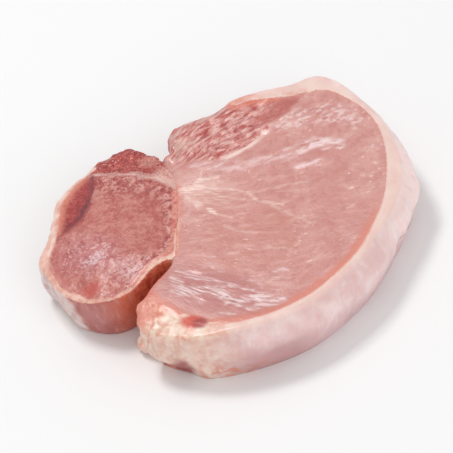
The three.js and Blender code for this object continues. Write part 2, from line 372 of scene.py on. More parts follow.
def relief_at(points):
    """Every piece's relief, passing smoothly from one piece to the next."""
    total = np.zeros(len(points))
    weights = np.full(len(points), 1e-6)  # so that no sum of weights is zero
    for node, relief in RELIEFS.items():
        weight = fall(distances[node](points), -BLEND, BLEND)
        near = weight > 0
        total[near] += weight[near] * relief(points[near])
        weights += weight
    return total / weights


def pulled(points):
    """The move in plan of each point by all the pulls."""
    move = np.zeros_like(points)
    for centre, radii, angle, shift, (full, gone) in PULLS:
        share = spot(points, centre, radii, angle) * fall(points[:, 2], full, gone)
        move[:, :2] += share[:, None] * np.array(shift)
    return move


def lay_on_skin(mesh):
    """Moves a copy's outside on to the skin, and gives it the relief. Gives back the skin's normals."""
    points = read_points(mesh)
    normals = read_normals(mesh)
    nearest = np.empty_like(points)
    outward = np.empty_like(points)
    for i, point in enumerate(points * MM):
        place, normal, _, _ = skin_tree.find_nearest(point)
        nearest[i] = place
        outward[i] = normal
    nearest /= MM
    offset = points - nearest
    distance = np.linalg.norm(offset, axis=1)
    beyond = np.einsum("ij,ij->i", offset, outward) > 0
    facing = np.einsum("ij,ij->i", normals, outward) > SAME_SIDE
    outside = beyond | (facing & (distance < SKIN_REACH))
    depth = np.where(outside, 0.0, distance)
    base = np.where(outside[:, None], nearest, points)
    height = relief_at(base) * fall(depth, 0, RELIEF_DEPTH)
    height *= rise(base[:, 2], *FOOT_CALM)
    moved = base + outward * height[:, None]
    moved[:, 2] = np.where(points[:, 2] < FLAT_BELOW, 0.0, np.maximum(moved[:, 2], 0.0))
    write_points(mesh, moved + pulled(moved))
    return outward


def store(mesh, name, values):
    """Keeps a value for each point of the mesh, for its material to read."""
    attribute = mesh.attributes.new(name, "FLOAT", "POINT")
    attribute.data.foreach_set("value", values.astype(np.float32))


def shade_by_angle(mesh):
    """Shades the mesh smoothly but for its sharp edges."""
    bm = bmesh.new()
    bm.from_mesh(mesh)
    for face in bm.faces:
        face.smooth = True
    for line in bm.edges:
        line.smooth = len(line.link_faces) == 2 and line.calc_face_angle() < SHARP_EDGE
    bm.to_mesh(mesh)
    bm.free()


def make_piece(node, material, marks):
    """Makes the fine copy of a node. marks gives the values that its material reads at each point."""
    piece = remeshed(node + "_meat", [node], GROW, FINE[node])
    mesh = piece.data
    outward = lay_on_skin(mesh)
    points = read_points(mesh)
    others = [distances[other](points) for other in distances if other != node]
    store(mesh, "to_join", np.min(others, axis=0))
    store(mesh, "side", fall(outward[:, 2], *WALL_SLOPE))
    for name, values in marks(points).items():
        store(mesh, name, values)
    shade_by_angle(mesh)
    mesh.materials.clear()
    mesh.materials.append(material)
    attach(piece, "root")
    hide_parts(node)


# ---- Materials ----

SOAK_SPREAD = (1.0, 0.45, 0.3)  # how far red, green and blue light spread inside, as shares of the reach
SOAK_FROM_JOIN = (0.2, 2.5)  # between these distances from the next piece, light comes to soak in fully
DRY = 0.38  # the roughness of the large muscles where they are least wet
WET = 0.3
COAT_ROUGHNESS = 0.12
SPECULAR = 0.45


def tone(red, green, blue):
    """A colour given as 0 to 255, as a screen shows it."""
    linear = [((c / 255 + 0.055) / 1.055) ** 2.4 for c in (red, green, blue)]
    return (*linear, 1.0)


class Surface:
    """A material whose nodes are added one call at a time. Most calls give back an output. A value is a
    number, an output or the name of a mark that the mesh stores at each point. A colour is an output, or
    its red, green and blue as tone takes them."""

    def __init__(self, name):
        self.material = bpy.data.materials.new(name)
        self.material.use_nodes = True
        self.tree = self.material.node_tree
        self.shader = self.tree.nodes["Principled BSDF"]
        place = self.add("ShaderNodeTexCoord")
        self.place = self.vector("MULTIPLY", place.outputs["Object"], (1 / MM,) * 3)
        self.height = 0.0

    def add(self, kind, **settings):
        node = self.tree.nodes.new(kind)
        for key, value in settings.items():
            setattr(node, key, value)
        return node

    def feed(self, socket, value):
        if isinstance(value, str):
            value = self.add("ShaderNodeAttribute", attribute_name=value).outputs["Fac"]
        if isinstance(value, bpy.types.NodeSocket):
            self.tree.links.new(value, socket)
        else:
            socket.default_value = value

    def supply(self, node, inputs):
        for name, value in inputs.items():
            self.feed(node.inputs[name], value)

    def combine(self, kind, operation, a, b):
        node = self.add(kind, operation=operation)
        self.feed(node.inputs[0], a)
        self.feed(node.inputs[1], b)
        return node.outputs[0]

    def math(self, operation, a, b=0.0):
        return self.combine("ShaderNodeMath", operation, a, b)

    def vector(self, operation, a, b):
        return self.combine("ShaderNodeVectorMath", operation, a, b)

    def times(self, *values):
        product = values[0]
        for value in values[1:]:
            product = self.math("MULTIPLY", product, value)
        return product

    def greater(self, a, b):
        """The greater of two values."""
        return self.math("MAXIMUM", a, b)

    def fade(self, value, low, high, to_low=0.0, to_high=1.0):
        """to_low where the value is at low or less, and to_high where it is at high or more."""
        node = self.add("ShaderNodeMapRange", interpolation_type="SMOOTHSTEP")
        for socket, given in zip(node.inputs, (value, low, high, to_low, to_high)):
            self.feed(socket, given)
        return node.outputs[0]

    def along(self, length):
        """Coordinates in which a shape is that many times longer along the fibres than across them. With
        no length given, they are plain ones."""
        if length is None:
            return self.place
        split = self.add("ShaderNodeSeparateXYZ")
        self.feed(split.inputs[0], self.place)
        x = self.math("DIVIDE", split.outputs["X"], length)
        z = self.math("DIVIDE", split.outputs["Z"], FIBRE_HEIGHT)
        join = self.add("ShaderNodeCombineXYZ")
        self.supply(join, {"X": x, "Y": "across", "Z": z})
        return join.outputs[0]

    def noise(self, size, detail=2.0, length=None, distortion=0.0, squeeze=None):
        """Noise from 0 to 1 with lumps of that size, or of that size across the fibres. squeeze scales the
        coordinates, so that lumps grow longer along an axis with a small factor."""
        node = self.add("ShaderNodeTexNoise")
        self.supply(node, {"Scale": 1.0 / size, "Detail": detail, "Distortion": distortion})
        place = self.along(length)
        self.feed(node.inputs["Vector"], self.vector("MULTIPLY", place, squeeze) if squeeze else place)
        return node.outputs["Fac"]

    def veins(self, size, width, length):
        """Thin lines that wander, which are level lines of a noise."""
        level = self.math("SUBTRACT", self.noise(size, 2.5, length), 0.5)
        return self.fade(self.math("ABSOLUTE", level), 0.0, width, 1.0, 0.0)

    def grains(self, size, length=None, waver=0.6):
        """Cells of that size: a random number for each, and the distance from its middle."""
        place = self.along(length)
        # A second noise bends the cells' walls.
        shift = self.add("ShaderNodeTexNoise")
        self.supply(shift, {"Scale": 1.2 / size, "Vector": place})
        away = self.vector("SUBTRACT", shift.outputs["Color"], (0.5, 0.5, 0.5))
        away = self.vector("MULTIPLY", away, (2.0 * waver * size,) * 3)
        node = self.add("ShaderNodeTexVoronoi")
        self.supply(node, {"Scale": 1.0 / size, "Vector": self.vector("ADD", place, away)})
        split = self.add("ShaderNodeSeparateColor")
        self.feed(split.inputs[0], node.outputs["Color"])
        return split.outputs[0], node.outputs["Distance"]

    def mix(self, share, a, b):
        node = self.add("ShaderNodeMix", data_type="RGBA")
        self.feed(node.inputs["Factor"], share)
        for socket, colour in zip([i for i in node.inputs if i.type == "RGBA"], (a, b)):
            self.feed(socket, tone(*colour) if isinstance(colour, tuple) else colour)
        return [o for o in node.outputs if o.type == "RGBA"][0]

    def layers(self, colour, *covers):
        """The colour with covers laid over it in turn, each of them a share and a colour."""
        for share, cover in covers:
            colour = self.mix(share, colour, cover)
        return colour

    def raise_by(self, *factors):
        """Adds to the fine relief, in millimetres."""
        self.height = self.math("ADD", self.times(*factors), self.height)

    def finish(self, colour, roughness, soak, reach, coat=0.35):
        """soak is the share of light that soaks in, and reach how far the red of it spreads."""
        bump = self.add("ShaderNodeBump")
        self.supply(bump, {"Distance": MM, "Height": self.height})
        inputs = {
            "Base Color": colour,
            "Roughness": roughness,
            "Normal": bump.outputs[0],
            "Subsurface Weight": self.times(self.fade("to_join", *SOAK_FROM_JOIN), soak),
            "Subsurface Radius": SOAK_SPREAD,
            "Subsurface Scale": reach * MM,
            "Coat Weight": coat,
            "Coat Roughness": COAT_ROUGHNESS,
            "Specular IOR Level": SPECULAR,
        }
        self.supply(self.shader, inputs)
        return self.material


def eye_material():
    s = Surface("pale_cut_meat")
    broad = s.noise(17.0)
    patches = s.noise(5.5, 3.0)
    streaks = s.noise(3.0, 3.0, length=3.0)
    fine = s.noise(0.8, length=1.4)
    flecks = s.noise(1.2, 2.5, length=2.4)
    hairs = s.noise(0.8, 3.0, length=5.0)
    grain, from_middle = s.grains(1.5, length=1.4)
    veins = s.times(s.veins(11.0, 0.022, length=2.0), s.fade(broad, 0.4, 0.6))
    strokes = s.fade(s.noise(1.0, 3.0, length=5.0), 0.42, 0.6)
    specks = s.fade(s.noise(0.9, 3.5, length=3.0), 0.44, 0.62)
    # Painted highlights: pale strokes and grains where the eye is moist, which also raise the fine relief.
    wet_bumps_and_glints = s.greater(s.times("gloss", strokes), s.times("wet_grains", specks, 0.7))
    painted_haze = s.times("gloss", s.fade(s.noise(2.6, length=3.0), 0.35, 0.65, 0.0, 0.45))
    colour = s.layers(
        s.mix(s.fade(broad, 0.35, 0.65), (205, 147, 140), (211, 158, 151)),
        (s.fade(patches, 0.4, 0.65, 0.0, 0.45), (199, 134, 124)),
        (s.times("pale", s.fade(streaks, 0.3, 0.55, 0.45, 1.0)), (230, 190, 180)),
        ("tan", (200, 138, 126)),
        ("rosy", (198, 124, 118)),
        (s.fade(grain, 0.5, 1.0, 0.0, 0.4), (188, 116, 107)),
        (s.fade(streaks, 0.5, 0.7, 0.0, 0.4), (226, 182, 174)),
        (s.fade(fine, 0.32, 0.48, 0.22, 0.0), (188, 114, 106)),
        (s.times(veins, s.fade("pale", 0.0, 0.6, 0.12, 0.8)), (238, 208, 200)),
        (s.times(s.fade(flecks, 0.6, 0.72, 0.0, 0.8), s.fade(broad, 0.38, 0.58)), (234, 200, 192)),
        ("orange", (213, 132, 114)),
        (s.times("fan", s.fade(hairs, 0.4, 0.6, 0.15, 1.0)), (242, 218, 206)),
        (s.times("rays", s.fade(hairs, 0.34, 0.52, 0.3, 1.0)), (238, 208, 198)),
        ("deep", (184, 116, 112)),
        # Painted highlights: a pale haze and pale strokes over the moist parts.
        (painted_haze, (226, 186, 185)),
        (s.times(wet_bumps_and_glints, 0.75), (243, 222, 221)),
        ("septum", (238, 210, 199)),
        ("edge_flesh", s.mix(s.fade(fine, 0.35, 0.6), (202, 98, 84), (222, 142, 126))),
        ("cream", (232, 204, 188)),
        ("red", (204, 88, 70)),
        ("clot", (150, 52, 56)),
    )
    s.raise_by(streaks, 0.2)
    s.raise_by(fine, 0.11)
    s.raise_by(from_middle, -0.1)
    s.raise_by(wet_bumps_and_glints, 0.16)
    return s.finish(colour, s.fade("gloss", 0.0, 1.0, DRY, WET), soak=0.5, reach=1.6)


def strand_material():
    s = Surface("stranded_cut_meat")
    chunk, from_middle = s.grains(1.7, length=1.8, waver=0.8)
    fine = s.noise(0.8, 3.0, length=1.5)
    streaks = s.noise(2.0, 2.5, length=2.0)
    broad = s.noise(8.0)
    wet_bumps_and_glints = s.noise(1.0, 3.0, length=2.6)
    rough = s.fade("smooth_patch", 0.0, 1.0, 1.0, 0.1)
    colour = s.layers(
        s.mix(s.fade(chunk, 0.1, 0.9), (186, 90, 82), (212, 150, 142)),
        (s.fade(broad, 0.4, 0.65, 0.0, 0.4), (206, 138, 130)),
        (s.times(s.fade(streaks, 0.5, 0.62, 0.0, 0.75), rough), (234, 192, 184)),
        (s.times(s.fade(streaks, 0.37, 0.45, 0.8, 0.0), rough), (164, 62, 57)),
        (s.times(s.fade(fine, 0.32, 0.46, 0.6, 0.0), rough), (162, 60, 56)),
        (s.fade(from_middle, 0.5, 0.9, 0.0, 0.25), (222, 168, 160)),
        (s.times("smooth_patch", 0.9), (184, 100, 92)),
        (s.times("pale", s.fade(broad, 0.3, 0.55)), (222, 184, 172)),
        (s.times("grey_band", s.fade(streaks, 0.3, 0.5, 0.5, 1.0)), (202, 160, 150)),
        ("red_rim", (198, 96, 88)),
        ("like_eye", (208, 150, 143)),
        ("septum", (236, 208, 197)),
        ("orange", (214, 124, 104)),
        ("fatty", (228, 186, 176)),
        # Painted glints: pale flecks on the moist part of the strands.
        (s.times("gloss", s.fade(wet_bumps_and_glints, 0.54, 0.68, 0.0, 0.5)), (240, 212, 208)),
    )
    away = s.fade("to_join", 0.0, 3.0, 0.3, 1.0)
    s.raise_by(streaks, away, 0.7)
    s.raise_by(fine, 0.22)
    s.raise_by(wet_bumps_and_glints, "gloss", 0.3)
    s.raise_by(from_middle, -0.25, rough)
    return s.finish(colour, s.fade("gloss", 0.0, 1.0, DRY, WET), soak=0.45, reach=1.4)


def bevel_colour(s):
    """The salmon and cream of the bevel round the tenderloin."""
    return s.mix(s.fade(s.noise(2.6, 3.0), 0.35, 0.65), (222, 162, 144), (236, 196, 180))


def lobe_wall_colour(s, broad):
    """The tenderloin's wall, from lilac at the left to orange red in the groove, with upright streaks."""
    streaks = s.noise(2.4, 3.0, squeeze=(1.0, 1.0, 0.35))
    return s.layers(
        s.mix(s.fade(broad, 0.35, 0.6), (168, 84, 74), (188, 110, 100)),
        ("lilac", (184, 118, 122)),
        ("groove", (204, 106, 80)),
        (s.fade(streaks, 0.5, 0.7, 0.0, 0.4), (214, 160, 150)),
    )


def granular_colour(s):
    """The cut face of the tenderloin, and its flecks. Pale lilac flecks and a pale lilac patch are painted
    on it as highlights.
    """
    broad = s.noise(11.0)
    patches = s.noise(4.0)
    grain, from_middle = s.grains(1.15)
    flecks = s.noise(1.2, 3.0)
    fine = s.noise(0.6)
    dark_grains = s.times(s.fade(grain, 0.45, 0.95), s.fade("coarse", 0.0, 1.0, 0.3, 0.85))
    pale_blotches = s.times(s.fade(patches, 0.5, 0.62), s.fade("coarse", 0.0, 1.0, 0.0, 0.5))
    pale_grains = s.times(s.fade(grain, 0.4, 0.0), s.fade("coarse", 0.0, 1.0, 0.15, 0.6))
    dots = s.times(s.fade(s.noise(0.95), 0.56, 0.66), s.fade("coarse", 0.0, 1.0, 0.12, 0.8))
    # Painted highlights: pale lilac flecks on the pink part.
    painted_glint_flecks = s.times(s.fade(flecks, 0.55, 0.68), s.fade("pink", 0.0, 1.0, 0.1, 0.6))
    colour = s.layers(
        s.mix(s.fade(broad, 0.35, 0.65), (186, 104, 92), (195, 120, 108)),
        ("dark", (178, 92, 84)),
        ("pink", (192, 122, 124)),
        (s.fade(patches, 0.38, 0.55, 0.45, 0.0), (174, 80, 74)),
        (s.fade(patches, 0.5, 0.66, 0.0, 0.35), (210, 146, 134)),
        (dark_grains, (144, 48, 48)),
        (pale_blotches, (222, 172, 164)),
        (pale_grains, (230, 176, 164)),
        (s.fade(fine, 0.34, 0.48, 0.35, 0.0), (166, 82, 76)),
        (dots, (142, 44, 46)),
        (painted_glint_flecks, (228, 190, 190)),
        # Painted highlight: a pale lilac patch.
        (s.times("sheen", s.fade(flecks, 0.36, 0.56)), (228, 204, 210)),
        ("red", (190, 84, 74)),
        ("strap", (146, 50, 54)),
    )
    s.raise_by(flecks, 0.16)
    s.raise_by(fine, 0.1)
    s.raise_by(from_middle, -0.12, s.fade("coarse", 0.0, 1.0, 0.5, 1.5))
    return colour, flecks


def tender_material():
    s = Surface("granular_cut_meat")
    cut_face, flecks = granular_colour(s)
    colour = s.layers(
        cut_face,
        (s.times("wall", s.fade("side", 0.3, 0.6)), lobe_wall_colour(s, s.noise(11.0))),
        (s.times("rim", s.fade("side", 0.3, 0.6, 1.0, 0.0)), bevel_colour(s)),
        ("septum", (230, 190, 180)),
    )
    return s.finish(colour, s.fade(flecks, 0.4, 0.65, 0.46, 0.36), soak=0.45, reach=1.4, coat=0.16)


def trim_material():
    s = Surface("rough_red_trim")
    crumb, from_middle = s.grains(1.9, waver=0.9)
    fine = s.noise(0.9, 3.0)
    broad = s.noise(5.0)
    colour = s.layers(
        s.mix(crumb, (148, 36, 34), (194, 82, 74)),
        (s.fade(broad, 0.45, 0.65, 0.0, 0.35), (202, 108, 98)),
        (s.fade(fine, 0.55, 0.68, 0.0, 0.55), (230, 168, 158)),
        (s.fade(fine, 0.34, 0.46, 0.8, 0.0), (132, 36, 40)),
        (s.times("pale", s.fade(fine, 0.3, 0.5, 0.5, 1.0)), (224, 172, 160)),
        ("septum", (230, 190, 180)),
        ("fatty", (226, 178, 164)),
    )
    s.raise_by(crumb, 0.5)
    s.raise_by(from_middle, -0.5)
    s.raise_by(fine, 0.4)
    return s.finish(colour, 0.36, soak=0.4, reach=1.2, coat=0.25)


def strap_material():
    s = Surface("dark_strap_meat")
    grain, from_middle = s.grains(1.3)
    fine = s.noise(0.9, 3.0)
    colour = s.layers(
        s.mix(grain, (140, 30, 32), (176, 60, 56)),
        ("dark", s.mix(grain, (102, 24, 34), (136, 44, 50))),
        (s.fade(fine, 0.55, 0.68, 0.0, 0.35), (200, 108, 102)),
        ("pale", (216, 132, 108)),
    )
    s.raise_by(fine, 0.4)
    s.raise_by(from_middle, -0.2)
    return s.finish(colour, 0.36, soak=0.4, reach=1.2, coat=0.2)


def flank_material():
    s = Surface("orange_flank_meat")
    broad = s.noise(4.0)
    fine = s.noise(1.1, 3.0)
    colour = s.layers(
        s.mix(s.fade(broad, 0.35, 0.65), (222, 130, 102), (236, 164, 138)),
        (s.fade(fine, 0.52, 0.7, 0.0, 0.5), (236, 186, 166)),
        (s.fade(fine, 0.3, 0.44, 0.4, 0.0), (196, 92, 74)),
        (s.fade("side", 0.2, 0.8, 0.6, 0.0), (212, 142, 132)),
        ("fat", s.mix(s.fade(broad, 0.35, 0.65), (238, 214, 200), (226, 178, 160))),
    )
    s.raise_by(broad, 0.3)
    s.raise_by(fine, 0.25)
    return s.finish(colour, 0.42, soak=0.45, reach=1.4, coat=0.15)


def back_fat_material():
    s = Surface("pink_white_fat")
    broad = s.noise(13.0, 3.0)
    mottle = s.noise(3.4, 4.0, distortion=0.3)
    fine = s.noise(1.3)
    drawn = s.noise(2.6, 3.0, squeeze=(1.0, 1.0, 0.22))
    outer = s.layers(
        s.mix(s.fade(broad, 0.38, 0.62), (228, 194, 192), (238, 214, 212)),
        # Painted light: the right side of the wall is paler.
        ("bright", (246, 222, 220)),
        (s.fade(drawn, 0.5, 0.68, 0.0, 0.4), (246, 228, 226)),
        (s.fade(drawn, 0.3, 0.46, 0.3, 0.0), (220, 174, 173)),
        # Painted shade: the wall darker towards its foot, and most at the front.
        ("low", (208, 162, 166)),
        ("shade", (192, 144, 146)),
    )
    tail = s.layers(
        s.mix(s.fade(mottle, 0.36, 0.64), (230, 208, 188), (216, 172, 152)),
        (s.fade("side", 0.2, 0.8), s.mix(s.fade(mottle, 0.3, 0.7), (233, 206, 191), (225, 187, 173))),
        (s.fade(fine, 0.5, 0.7, 0.0, 0.35), (238, 218, 206)),
    )
    colour = s.layers(
        s.mix(s.fade(broad, 0.35, 0.65), (228, 194, 184), (232, 206, 196)),
        (s.greater("side", "by_edge"), outer),
        # Painted shade: a darker pink line in the crease, which the relief also cuts in.
        ("fold", (206, 150, 150)),
        ("tail", tail),
        (s.times("stain", s.fade(mottle, 0.4, 0.66)), (212, 130, 104)),
        ("flesh", s.mix(s.fade(fine, 0.4, 0.6), (208, 112, 88), (228, 156, 130))),
        ("red", (204, 88, 70)),
        ("clot", (150, 50, 54)),
        ("by_lean", (220, 128, 112)),
    )
    s.raise_by(mottle, 0.2)
    s.raise_by(drawn, 0.15)
    s.raise_by(fine, 0.1)
    s.raise_by("fold", -0.5)
    return s.finish(colour, 0.42, soak=0.6, reach=2.2, coat=0.18)


def seam_material():
    s = Surface("cream_fat")
    mottle = s.noise(2.2, 3.0)
    grain, from_middle = s.grains(1.2)
    # The groove wall turns orange red: partly the fat's own colour, partly painted shade of the groove.
    deep = s.mix(s.fade(mottle, 0.4, 0.6), (210, 114, 84), (182, 80, 58))
    colour = s.layers(
        s.mix(s.fade(mottle, 0.35, 0.65), (240, 212, 196), (232, 184, 164)),
        (s.times("deep", s.fade("side", 0.35, 0.7)), deep),
        ("meat", s.mix(grain, (188, 96, 86), (216, 148, 132))),
    )
    s.raise_by(mottle, 0.3)
    s.raise_by(from_middle, -0.12)
    return s.finish(colour, 0.4, soak=0.5, reach=1.6, coat=0.2)


def sheath_material():
    s = Surface("pale_sheath")
    mottle = s.noise(4.5, 3.0)
    film = s.mix(s.fade(mottle, 0.35, 0.65), (228, 206, 202), (206, 168, 166))
    colour = s.layers(
        s.mix(s.fade(mottle, 0.38, 0.62), (236, 204, 192), (228, 182, 166)),
        ("lobe", granular_colour(s)[0]),
        (s.times("wall", s.fade("side", 0.4, 0.75)), lobe_wall_colour(s, mottle)),
        (s.times("film", s.fade("side", 0.02, 0.25)), film),
        ("meat", (203, 128, 118)),
        ("flesh", (196, 104, 92)),
        (s.times("rim", s.fade("side", 0.3, 0.6, 1.0, 0.0)), bevel_colour(s)),
    )
    s.raise_by(mottle, 0.3)
    return s.finish(colour, 0.38, soak=0.5, reach=1.6, coat=0.2)


# ---- Marks that the materials read ----


def band(distance, width, soft):
    """1 within that width of a line, fading beyond."""
    return fall(distance, width - soft, width + soft)


def ragged(distance, points, amount, size, seed):
    """The distance made uneven by noise."""
    return distance + amount * layered_noise(points, size, 2, seed)


def ragged_from(node, points, amount, size, seed):
    """The uneven distance from a node."""
    return ragged(distances[node](points), points, amount, size, seed)


def stroke(points, course, width, waver=0.3):
    """1 on a line through the points of the course, 0 beyond the width to either side. The waver is how
    uneven its edge is, as a share of the width."""
    nearest = np.full(len(points), np.inf)
    for (ax, ay), (bx, by) in zip(course, course[1:]):
        dx, dy = bx - ax, by - ay
        t = np.clip(((points[:, 0] - ax) * dx + (points[:, 1] - ay) * dy) / (dx * dx + dy * dy), 0, 1)
        away = np.hypot(points[:, 0] - ax - t * dx, points[:, 1] - ay - t * dy)
        nearest = np.minimum(nearest, away)
    nearest = nearest + waver * width * layered_noise(points, 2.5, 2, 291)
    return fall(nearest, 0.2 * width, width)


def strongest(points, strokes, waver=0.3):
    """The strongest of several strokes at each point."""
    each = [strength * stroke(points, course, width, waver) for course, width, strength in strokes]
    return np.max(each, axis=0)


def rim_mark(p):
    """The salmon and cream bevel along the front edge of the tenderloin. It is widest at the corner to the
    left, and beside the corner it is a thin line that stands back from the edge."""
    x, y, z = p.T
    inside = ragged(-edge(p), p, 0.6, 4.0, 201)
    front = rise(-y - 0.25 * x, 10, 18) * rise(-x, 26, 32)
    corner = rise(-x, 67, 71)
    left = rise(-x, 53, 60) * (1.0 - corner)
    width = 1.9 - 1.0 * left + 1.6 * corner
    soft = 0.9 - 0.4 * left
    away = np.abs(inside - 1.9 * left)
    front = front * rise(z, 15, 17) * (0.95 - 0.25 * corner)
    return front * band(away, width, soft)


def broken(p):
    """Makes the pale line between the trim and the tenderloin stronger in some places than in others."""
    return 0.45 + 0.55 * rise(layered_noise(p, 5.0, 2, 311), -0.5, 0.4)


def along_wall(p):
    """X made uneven, for what changes along the wall of the tenderloin."""
    return ragged(p[:, 0] + 0.25 * (p[:, 2] - 8.0), p, 2.0, 7.0, 281)


def red_spot(p):
    """The red spot on the tail, where the eye ends in the fat."""
    return np.clip(1.3 * spot(p, (-17.2, -54.0), (6.4, 4.2), -22), 0, 1)


def clot(p):
    """The dark end of the red spot."""
    return 0.85 * spot(p, (-14.6, -55.4), (4.2, 3.4), -22)


def on_side(p):
    """1 on the slice's outer wall, 0 on its cut faces away from the edge."""
    return fall(-edge(p), 1.5, 4)


# The strokes on the eye, each with its course in plan, its width and its strength. Along the streaks and
# grains, pale highlights are painted.
LOWER_STREAKS = (  # the long wet streaks along the lower edge
    (((-20.6, -27.4), (-17, -30.1), (-10.3, -34), (-4.9, -37.2), (1.7, -42), (6.4, -45)), 1.5, 0.95),
    (((-22.8, -30.3), (-19.9, -32.9)), 1.8, 0.8),
    (((-22, -34.9), (-19.7, -38.1), (-13.4, -39.3), (-9.7, -40.3), (-4.8, -42.5)), 3.6, 1.0),
    (((-4.8, -42.5), (-2.7, -46.9), (1.4, -49.7), (6, -48.3), (10.9, -50), (17, -52)), 3.2, 1.0),
    (((-6.5, -52.8), (-1, -54.6)), 1.0, 0.7),
    (((4.2, -53.4), (10.6, -52.9), (16.3, -52.7)), 2.2, 0.8),
    (((15, -37.7), (18.9, -37), (21.3, -38.5)), 1.0, 0.6),
    (((14.6, -41), (18.4, -41.2)), 0.9, 0.6),
    (((5.9, -38.8), (10, -41.6)), 0.9, 0.5),
    (((-9.7, -21.4), (-5.3, -23.5)), 0.9, 0.5),
    (((-9.4, -25.1), (-6.6, -29.3)), 0.9, 0.5),
)
UPPER_STREAKS = (  # the wet patches at the spine end
    (((27, 22.4), (30.3, 23), (36.4, 25), (40.2, 26.5), (45, 24.6), (49.1, 22.4)), 4.2, 1.0),
    (((31.4, 14.5), (36.5, 15.2), (40.8, 15)), 2.8, 0.85),
    (((3, 22), (10, 21), (18, 22), (27, 22.4)), 3.4, 0.5),
)
WET_GRAINS_AND_PAINTED_GLINTS = (  # the part of the spine end that glistens in small grains
    (((25.8, 39.4), (32, 42.9), (39.7, 45), (49.2, 44.9)), 5.0, 1.0),
    (((49.2, 44.9), (54.1, 37.7), (57.9, 33.5)), 5.0, 1.0),
    (((31.5, 38.8), (38.4, 41.1), (45.6, 40.1), (51, 36.5)), 5.0, 1.0),
)
RAYS = (  # the thin pale lines and short dashes that fan out from the seam
    (((-13.2, 16.4), (-5.2, 13.1), (2.8, 10.0), (10.2, 6.3), (14.5, -0.2), (23.2, -3.9)), 0.9, 0.6),
    (((19.6, -3.5), (23.6, -7.8), (32.5, -16.5)), 0.8, 0.35),
    (((10.2, 6.3), (15.1, 4.8), (20.7, 5.8), (27.2, 6.6), (34.0, 5.4)), 0.8, 0.3),
    (((-12.9, 9.8), (-8.0, 4.0), (-2.7, -2.2), (3.0, -5.5)), 0.8, 0.6),
    (((-8.0, 13.5), (2.0, 5.5), (9.0, 2.5)), 0.8, 0.35),
    (((-0.2, -8.9), (3.9, -12.8), (11.7, -16.2)), 0.9, 0.3),
    (((13.5, -23.9), (18.6, -26.2), (23.8, -27.9)), 0.9, 0.3),
    (((47.6, -12.0), (51.5, -10.3)), 0.8, 0.35),
    (((-0.9, -23.8), (3.2, -23.6)), 0.9, 0.3),
)
RAY_WAVER = 0.8  # they are more uneven than the streaks


def gloss_and_painted_glint_mark(p):
    """Where the eye is moist: there its roughness falls, and pale strokes and patches are painted on as
    highlights.
    """
    streaks = strongest(p, LOWER_STREAKS + UPPER_STREAKS)
    return np.maximum(streaks, 0.8 * spot(p, (0.8, 23.4), (5, 3), 10) + 0.5 * spot(p, (-6, 26.3), (7, 3)))


def fan_mark(p):
    """The pale patch by the seam, from which lines fan out."""
    fan = 0.9 * spot(p, (-10.5, 14.5), (8.0, 3.6), -12)
    fan = np.maximum(fan, 0.3 * spot(p, (-3.0, 9.0), (15.0, 9.0), -25))
    fan = np.maximum(fan, 0.7 * stroke(p, ((-11, 15.5), (-7, 18), (0, 17.5)), 1.3, 0.7))
    return np.maximum(fan, 0.85 * stroke(p, ((-13.5, 10), (-7.3, 3.3), (-3, -1)), 1.4, 0.6))


def eye_marks(p):
    x, y, _ = p.T
    to_fat = ragged_from("back_fat", p, 0.7, 6.0, 211)
    to_strands = ragged_from("strand_muscle", p, 0.3, 3.0, 212)
    septum = band(to_strands, 1.7, 0.9) * rise(x, 0, 6) * (1 - 0.75 * rise(x, 15, 22))
    septum = septum * fall(x, 24, 34)
    to_seam = np.minimum(distances["seam_fat"](p), distances["tenderloin"](p))
    beside_seam = band(ragged(to_seam, p, 0.5, 2.0, 213), 1.0, 0.6)
    seam_line = band(ragged(np.abs(to_seam - 0.9), p, 0.7, 2.5, 216), 0.4, 0.5)
    seam_line = seam_line * rise(y, -20, -14) * fall(y, 2, 10)
    salmon = band(ragged(to_seam, p, 0.8, 2.5, 217), 2.0, 1.4) * rise(y, -22, -14)
    lower_edge = band(to_fat, 3.0, 1.6) * rise(-y, 4, 30)
    by_groove = band(ragged(-edge(p), p, 1.4, 4.0, 214), 2.2, 1.2) * rise(-x, 22, 27)
    to_tail = band(ragged_from("back_fat", p, 2.4, 5.0, 215), 0.7, 0.6) * rise(-x, 4, 12)
    return {
        "across": eye_across(p),
        "orange": np.max([0.9 * lower_edge, 0.25 * band(to_fat, 0.7, 0.5), 0.7 * salmon], axis=0),
        "pale": 0.5 * spot(p, (-8, 14), (22, 14), -15),
        "fan": fan_mark(p),
        "rays": strongest(p, RAYS, RAY_WAVER),
        "edge_flesh": 0.8 * by_groove * rise(-y, 22, 28),
        "cream": np.maximum(0.9 * to_tail * rise(-y, 38, 46), 0.3 * seam_line),
        "tan": np.clip(0.75 * spot(p, (10, -19), (34, 22), -20) + 0.6 * spot(p, (1, 5), (11, 7), -25), 0, 1),
        "rosy": np.clip(beside_seam + 0.6 * spot(p, (-8, 29), (12, 6)), 0, 1),
        "septum": 0.95 * septum,
        "gloss": gloss_and_painted_glint_mark(p),
        "wet_grains": strongest(p, WET_GRAINS_AND_PAINTED_GLINTS),
        "deep": 0.8 * spot(p, (-7, -41), (34, 14), -34),
        "red": red_spot(p),
        "clot": clot(p),
    }


